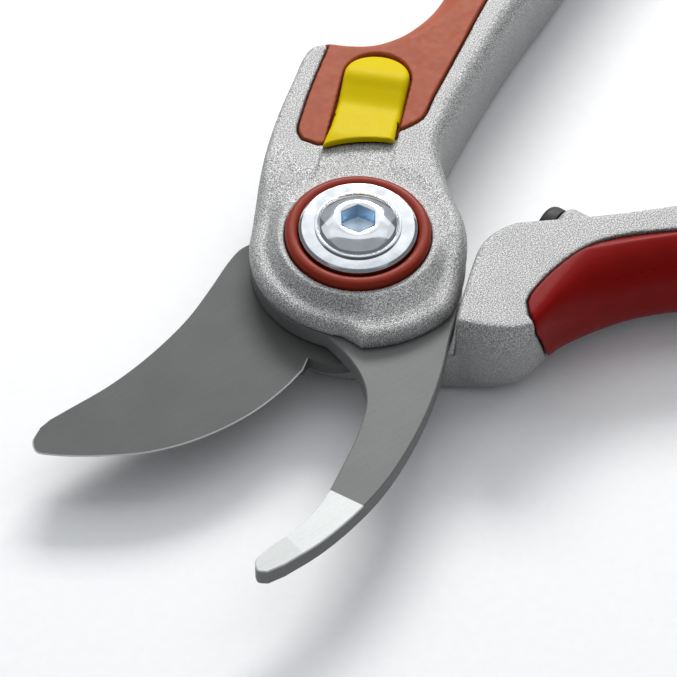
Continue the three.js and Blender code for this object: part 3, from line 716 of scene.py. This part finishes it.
def button_height(along):
    """Side view of the button along its slide."""
    lip, end = LIP_FRONT, BUTTON_END
    knots = [
        (lip - 6.0, 20.9), (lip - 1.5, 21.2), (lip + 0.4, 21.25), (lip + 3.0, 20.85),
        (lip + 6.4, 20.35), (lip + 9.6, 19.95), (lip + 13.0, 20.75), (end - 7.4, 21.62),
        (end - 6.1, 21.66), (end - 4.6, 21.3), (end - 2.0, 20.6), (end + 2, 19.4),
    ]
    line = smooth(knots, 10)
    return np.interp(along, line[:, 0], line[:, 1])


def thumb_button():
    """The slide's button, worked out in the lock's own frame."""
    along = steps_between((14, 0.2), (45.6, 1))
    across = steps_between((-7.4, 0.2), (7.4, 1))
    z = steps_between((17.6, 0.2), (22.6, 1))
    ga, gc, gz = along[:, None, None], across[None, :, None], z[None, None, :]
    flare = ramp(ga, LIP_FRONT - 3, LIP_FRONT + 3, 0.5, 0.0) * ramp(gc, 0, 4, 0.0, 1.0)
    plan = button_plan(ga, gc, BUTTON_HALF, BUTTON_END) - flare
    front = LIP_RADIUS - np.hypot(ga - LIP_CENTRE[0], gc - LIP_CENTRE[1])
    field = both(plan + 0 * gz, (gz - button_height(ga)) * 0.97, 1.1)
    field = both(field, front + 0 * gz, 0.3)
    field = both(field, BUTTON_BOTTOM - gz, 0.2)
    under_lip = np.maximum(ga - LIP_FRONT - LIP_OVERHANG, gz - LIP_UNDERSIDE)
    field = less(field, under_lip, 0.15)
    field = less(field, upright(ga, gc, gz, 1.5, 10, BUTTON_BOTTOM + 0.4, DETENT_PLACE, 0))
    points, faces = surface(field, (along, across, z))
    points = turned_by(points, LOCK_TURN)
    points[:, 0] -= LOCK_OFFSET * math.sin(LOCK_TURN)
    points[:, 1] += LOCK_OFFSET * math.cos(LOCK_TURN)
    points = turned_by(points, UPPER_TURN)
    place = ("lock_slide", "lock_button", "lock_yellow")
    new_object("thumb_button", points, faces, [YELLOW], place, sharp=None)


# ---- blades ----

PLATE_SHARP = 28.0
BLADE_BOTTOM, BLADE_TOP = 7.0, 10.0
HOOK_BOTTOM, HOOK_TOP = 10.3, 14.0
# the two ground flats of the hook's tip: a place on the line where each starts, and its direction
TIP_FLATS = [((-51.4, -19.6), (-0.993, 0.117)), ((-64.7, -17.2), (-0.90, 0.43))]


def inset(outline, distance):
    """Every point of a closed anticlockwise outline moved inward."""
    before, after = np.roll(outline, 1, axis=0), np.roll(outline, -1, axis=0)
    along = after - before
    along /= np.maximum(np.linalg.norm(along, axis=1, keepdims=True), 1e-9)
    distance = np.broadcast_to(np.asarray(distance, float), (len(outline),))[:, None]
    return outline + np.stack([-along[:, 1], along[:, 0]], axis=1) * distance


def hole_cutter(x, y, radius, turn):
    """A plug that cuts a round hole through a plate."""
    points, faces = spun([(NEAR_AXIS, -5), (radius, -5), (radius, 40), (NEAR_AXIS, 40)], 48)
    points = turned_by(points + np.array((x, y, 0)), turn)
    mesh = bpy.data.meshes.new("cutter")
    mesh.from_pydata([tuple(p) for p in points * MM], [], faces)
    bm = bmesh.new()
    bm.from_mesh(mesh)
    bmesh.ops.remove_doubles(bm, verts=bm.verts, dist=1e-5)
    bmesh.ops.recalc_face_normals(bm, faces=bm.faces)
    bm.to_mesh(mesh)
    bm.free()
    cutter = bpy.data.objects.new("cutter", mesh)
    collection.objects.link(cutter)
    return cutter


def apply_modifiers(obj):
    """Make what the modifiers show the object's own mesh."""
    depsgraph = bpy.context.evaluated_depsgraph_get()
    mesh = bpy.data.meshes.new_from_object(obj.evaluated_get(depsgraph))
    obj.modifiers.clear()
    obj.data = mesh


def plate(name, loops, materials, side_finish, place, turn, holes):
    """A plate from loops with the same number of points, bottom first. side_finish numbers the
    material of each side face by loop and point; holes are (x, y, radius)."""
    count = len(loops[0])
    points = turned_by(np.vstack(loops), turn)
    faces = [tuple(reversed(range(count)))]
    finish = [0]
    for k in range(len(loops) - 1):
        for i in range(count):
            j = (i + 1) % count
            faces.append((k * count + i, k * count + j, (k + 1) * count + j, (k + 1) * count + i))
            finish.append(int(side_finish[k, i]))
    top = (len(loops) - 1) * count
    faces.append(tuple(range(top, top + count)))
    finish.append(0)
    obj = new_object(name, points, faces, materials, place, sharp=None)
    obj.data.polygons.foreach_set("material_index", finish)
    cutters = [hole_cutter(*hole, turn) for hole in holes]
    for cutter in cutters:
        modifier = obj.modifiers.new("hole", "BOOLEAN")
        modifier.object = cutter
        modifier.solver = "EXACT"
    apply_modifiers(obj)
    for cutter in cutters:
        bpy.data.objects.remove(cutter)
    obj.data.shade_smooth()
    obj.data.set_sharp_from_angle(angle=math.radians(PLATE_SHARP))
    return obj


def level(outline, z):
    """An outline's points at one height, or at a height each."""
    z = np.broadcast_to(np.asarray(z, float), (len(outline),))
    return np.column_stack([outline, z])


def plate_holes(circle, angles):
    """The pivot's hole and the pins' holes."""
    pins = [(circle * math.cos(a), circle * math.sin(a), PIN_HOLE_RADIUS) for a in angles]
    return [(0, 0, PLATE_BORE_RADIUS)] + pins


def cutting_blade():
    """The bypass blade, ground from below up to its edge, with a bright line along the edge."""
    plain = np.vstack([arc(HUB_RADIUS, 272, 514, 90), smooth(BLADE_BACK)])
    heel = smooth(BLADE_HEEL)[::-1]
    edge, ground = smooth(BLADE_EDGE), smooth(BLADE_GROUND)
    top = np.vstack([plain, edge, heel])
    under = np.vstack([plain, ground, heel])
    on_edge = np.concatenate([np.zeros(len(plain)), np.ones(len(edge)), np.zeros(len(heel))]) > 0
    loops = [
        level(inset(under, 0.15), BLADE_BOTTOM),
        level(under, np.where(on_edge, BLADE_BOTTOM, 7.15)),
        level(top, np.where(on_edge, 9.80, 9.85)),
        level(inset(top, np.where(on_edge, 0.22, 0.15)), BLADE_TOP),
    ]
    side_finish = np.zeros((3, len(top)), int)
    side_finish[2, on_edge] = 1
    place = ("lower_lever", "cutting_blade", "blade_steel")
    holes = plate_holes(BLADE_PIN_CIRCLE, BLADE_PIN_ANGLES)
    plate("cutting_blade_plate", loops, [BLADE, GROUND], side_finish, place, LOWER_TURN, holes)


def turned_vector(pair, turn):
    """A place or a direction in plan, turned about the pivot."""
    return turned_by([(*pair, 0)], turn)[0]


def hook_plate():
    """The counter-blade, with its tip ground bright in two flats that meet on a line."""
    root = arc(CAP_RADIUS - 0.1, -80, 184, 90)
    outline = np.vstack([root, smooth(HOOK_INNER), smooth(HOOK_OUTER)])
    loops = [
        level(inset(outline, 0.2), HOOK_BOTTOM),
        level(outline, 10.5),
        level(outline, 13.8),
        level(inset(outline, 0.2), HOOK_TOP),
    ]
    side_finish = np.zeros((3, len(outline)), int)
    place = ("upper_lever", "counter_blade", "hook_steel")
    holes = plate_holes(HOOK_SCREW_CIRCLE, HOOK_SCREW_ANGLES)
    holes.append((10.0 * math.cos(0.9), 10.0 * math.sin(0.9), 1.15))
    hook = plate("hook_plate", loops, [HOOK, GROUND, SHADED_FACET_STEEL], side_finish, place, UPPER_TURN, holes)

    bm = bmesh.new()
    bm.from_mesh(hook.data)
    flats = [
        (Vector(turned_vector(start, UPPER_TURN) * MM), Vector(turned_vector(onward, UPPER_TURN)))
        for start, onward in TIP_FLATS
    ]
    for start, onward in flats:
        everything = bm.verts[:] + bm.edges[:] + bm.faces[:]
        bmesh.ops.bisect_plane(bm, geom=everything, plane_co=start, plane_no=onward)
    for face in bm.faces:
        if face.normal.z < 0.4:
            continue
        middle = face.calc_center_median()
        middle.z = 0
        beyond = [(middle - start).dot(onward) > 0 for start, onward in flats]
        if beyond[0]:
            # faces past the second line take the darker copy of the ground steel, painted shade for
            # that flat's tilt
            face.material_index = 2 if beyond[1] else 1
    bm.to_mesh(hook.data)
    bm.free()
    hook.data.set_sharp_from_angle(angle=math.radians(PLATE_SHARP))


# ---- the pivot's turned pieces ----

SOCKET_HALF = 3.0
SOCKET_TURN = math.radians(53.5)
SOCKET_FLOOR = 20.5
DOME_TOP, DOME_EDGE_RADIUS = 23.95, 7.0


def turned_piece(name, corners, segments, material, place, steps=6):
    """A finished round piece on the pivot's axis."""
    points, faces = spun(fillet_profile(corners, steps), segments)
    new_object(name, points, faces, [material], place, sharp=32)


def pivot_pieces():
    """The trim ring and the two washers."""
    ring = [(11.0, 17.8, 0.2), (13.35, 17.8, 0.2), (13.35, 21.2, 1.15), (11.0, 21.2, 1.15)]
    place = ("upper_lever", "pivot_ring", "ring_red")
    turned_piece("red_ring", ring, 160, RING_RED, place, steps=8)
    washer = [
        (BORE_RADIUS, 20.0, 0.1), (10.85, 20.0, 0.15), (10.85, 21.5, 0.3), (10.3, 21.95, 0.2),
        (BORE_RADIUS, 21.95, 0.1),
    ]
    place = ("upper_lever", "pivot_washer", "zinc")
    turned_piece("broad_washer", washer, 160, ZINC, place)
    wave = [(BORE_RADIUS, 17.8, 0.1), (8.2, 17.8, 0.2), (8.2, 19.7, 0.2), (BORE_RADIUS, 19.7, 0.1)]
    place = ("upper_lever", "spring_washer", "spring_steel")
    turned_piece("wave_washer", wave, 96, SPRING_STEEL, place)


def bolt():
    """Round-headed bolt with a hex socket."""
    segments = 120
    outer = fillet_profile([
        (0.0, 0.0, 0), (4.0, 0.0, 0.4), (4.0, 22.0, 0), (7.95, 22.0, 0.1), (7.95, 22.42, 0.12),
        (7.55, 22.44, 0.06), (7.45, 22.36, 0.05), (7.3, 22.42, 0.08), (7.1, 22.7, 0),
    ], 6)[1:]
    dome_radii = np.linspace(DOME_EDGE_RADIUS, 3.75, 16)
    dome_fall = 1.2 * (np.maximum(dome_radii - 3.9, 0) / 3.2) ** 1.7
    outer = np.vstack([outer, np.column_stack([dome_radii, DOME_TOP - dome_fall])])
    angles = np.linspace(0, 2 * math.pi, segments, endpoint=False)
    folded = (angles - SOCKET_TURN) % (math.pi / 3) - math.pi / 6
    hexagon = SOCKET_HALF / np.cos(folded)
    points, rings = [], []

    def add_ring(radii, z):
        """One ring of points at a height; radii is one radius or one for each angle."""
        rings.append(len(points))
        for angle, radius in zip(angles, np.broadcast_to(radii, angles.shape)):
            points.append((radius * math.cos(angle), radius * math.sin(angle), z))

    for r, z in outer:
        add_ring(r, z)
    add_ring(hexagon + 0.08, DOME_TOP - 0.05)
    add_ring(hexagon, DOME_TOP - 0.15)
    socket_start = len(rings) - 1
    add_ring(hexagon, SOCKET_FLOOR + 0.05)
    add_ring(hexagon - 0.1, SOCKET_FLOOR)
    add_ring(1.4, SOCKET_FLOOR - 0.6)
    # the socket's walls and floor take the zinc copy with the painted reflection
    faces, finish = [], []
    for k in range(len(rings) - 1):
        for i in range(segments):
            j = (i + 1) % segments
            faces.append((rings[k] + i, rings[k] + j, rings[k + 1] + j, rings[k + 1] + i))
            finish.append(1 if k >= socket_start else 0)
    faces.append(tuple(reversed(range(rings[0], rings[0] + segments))))
    faces.append(tuple(range(rings[-1], rings[-1] + segments)))
    finish += [0, 1]
    place = ("upper_lever", "pivot_bolt", "zinc")
    obj = new_object("socket_bolt", points, faces, [ZINC, SOCKET_PAINTED_REFLECTION], place, sharp=24)
    obj.data.polygons.foreach_set("material_index", finish)


def rubber_stop():
    """Domed rubber buffer on its stem."""
    profile = fillet_profile([
        (NEAR_AXIS, -3.0, 0), (1.6, -3.0, 0.2), (1.6, 3.3, 0), (3.8, 3.3, 0.2), (3.8, 6.4, 2.0),
        (NEAR_AXIS, 6.4, 0),
    ], 8)
    points, faces = spun(profile, 64)
    tilt = Matrix.Rotation(BUFFER_TILT, 4, "Z") @ Matrix.Rotation(math.radians(-90), 4, "X")
    points = np.array([tilt @ Vector(p) for p in points]) + BUFFER_AT
    place = ("lower_lever", "rubber_buffer", "black_rubber")
    new_object("rubber_stop", turned_by(points, LOWER_TURN), faces, [RUBBER], place, sharp=40)


upper_castings()
lower_castings()
thumb_button()
cutting_blade()
hook_plate()
pivot_pieces()
bolt()
rubber_stop()

# the small pieces inside keep their CAD shapes
for name, obj in nodes.items():
    if obj.hide_render:
        continue
    obj.data.materials.clear()
    obj.data.materials.append(SPRING_STEEL if name in ("torsion_spring", "detent_spring") else ZINC)

# ---- floor, light and camera ----

FLOOR_HALF = 3.0
FLOOR_DROP = 0.0003


def floor():
    """White paper just under the shears."""
    mesh = bpy.data.meshes.new("floor")
    corners = [(x * FLOOR_HALF, y * FLOOR_HALF, 0) for x, y in ((-1, -1), (1, -1), (1, 1), (-1, 1))]
    mesh.from_pydata(corners, [], [(0, 1, 2, 3)])
    obj = bpy.data.objects.new("floor", mesh)
    obj.location.z = -FLOOR_DROP
    collection.objects.link(obj)
    material, tree, shader, place = new_material("white_paper")
    mottle = noise(tree, place, 500, detail=3)
    shades = [(0.3, (0.90, 0.90, 0.905)), (0.7, (0.92, 0.92, 0.925))]
    tree.links.new(tint(tree, mottle, shades), shader.inputs["Base Color"])
    shader.inputs["Roughness"].default_value = 0.85
    obj.data.materials.append(material)


def area_light(name, place, size, power, color):
    """A rectangular light that faces the pivot."""
    data = bpy.data.lights.new(name, "AREA")
    data.shape = "RECTANGLE"
    data.size, data.size_y = size
    data.energy = power
    data.color = color
    obj = bpy.data.objects.new(name, data)
    obj.location = place
    obj.rotation_euler = (-Vector(place)).to_track_quat("-Z", "Y").to_euler()
    collection.objects.link(obj)


CAMERA_PLACE = (-0.2177, -0.2882, 0.4369)
CAMERA_VIEW = (0.37352, 0.50479, -0.77824)
# the camera's right and its level direction of view, in the row frame
RIGHT = np.array((0.80386, -0.59482, 0))
AWAY = np.array((0.59482, 0.80386, 0))


def spot(right, away, up):
    """A place given by the camera's directions, in metres from the pivot."""
    return tuple(RIGHT * right + AWAY * away + np.array((0, 0, up)))


floor()
area_light("key_light", spot(0.05, 0.86, 0.62), (0.60, 0.26), 9.5, (1.0, 0.995, 0.985))
area_light("top_light", spot(0.0, 0.64, 1.12), (3.0, 0.9), 8, (0.97, 0.985, 1.0))
area_light("fill_light", spot(0.0, -0.1, 2.0), (3.4, 2.4), 8, (0.98, 0.99, 1.0))
area_light("back_light", spot(0.0, 2.0, 1.1), (3.6, 1.9), 8, (0.985, 0.99, 1.0))

world = bpy.data.worlds.new("studio")
bpy.context.scene.world = world
world.use_nodes = True
background = world.node_tree.nodes["Background"]
background.inputs["Color"].default_value = (0.90, 0.94, 1.0, 1)
background.inputs["Strength"].default_value = 0.28
bpy.context.scene.view_settings.view_transform = "Standard"

camera_data = bpy.data.cameras.new("camera")
camera_data.lens = 160.9
camera_data.sensor_width = 36
camera_data.clip_start = 0.02
camera = bpy.data.objects.new("camera", camera_data)
camera.location = CAMERA_PLACE
camera.rotation_euler = Vector(CAMERA_VIEW).to_track_quat("-Z", "Y").to_euler()
collection.objects.link(camera)
bpy.context.scene.camera = camera
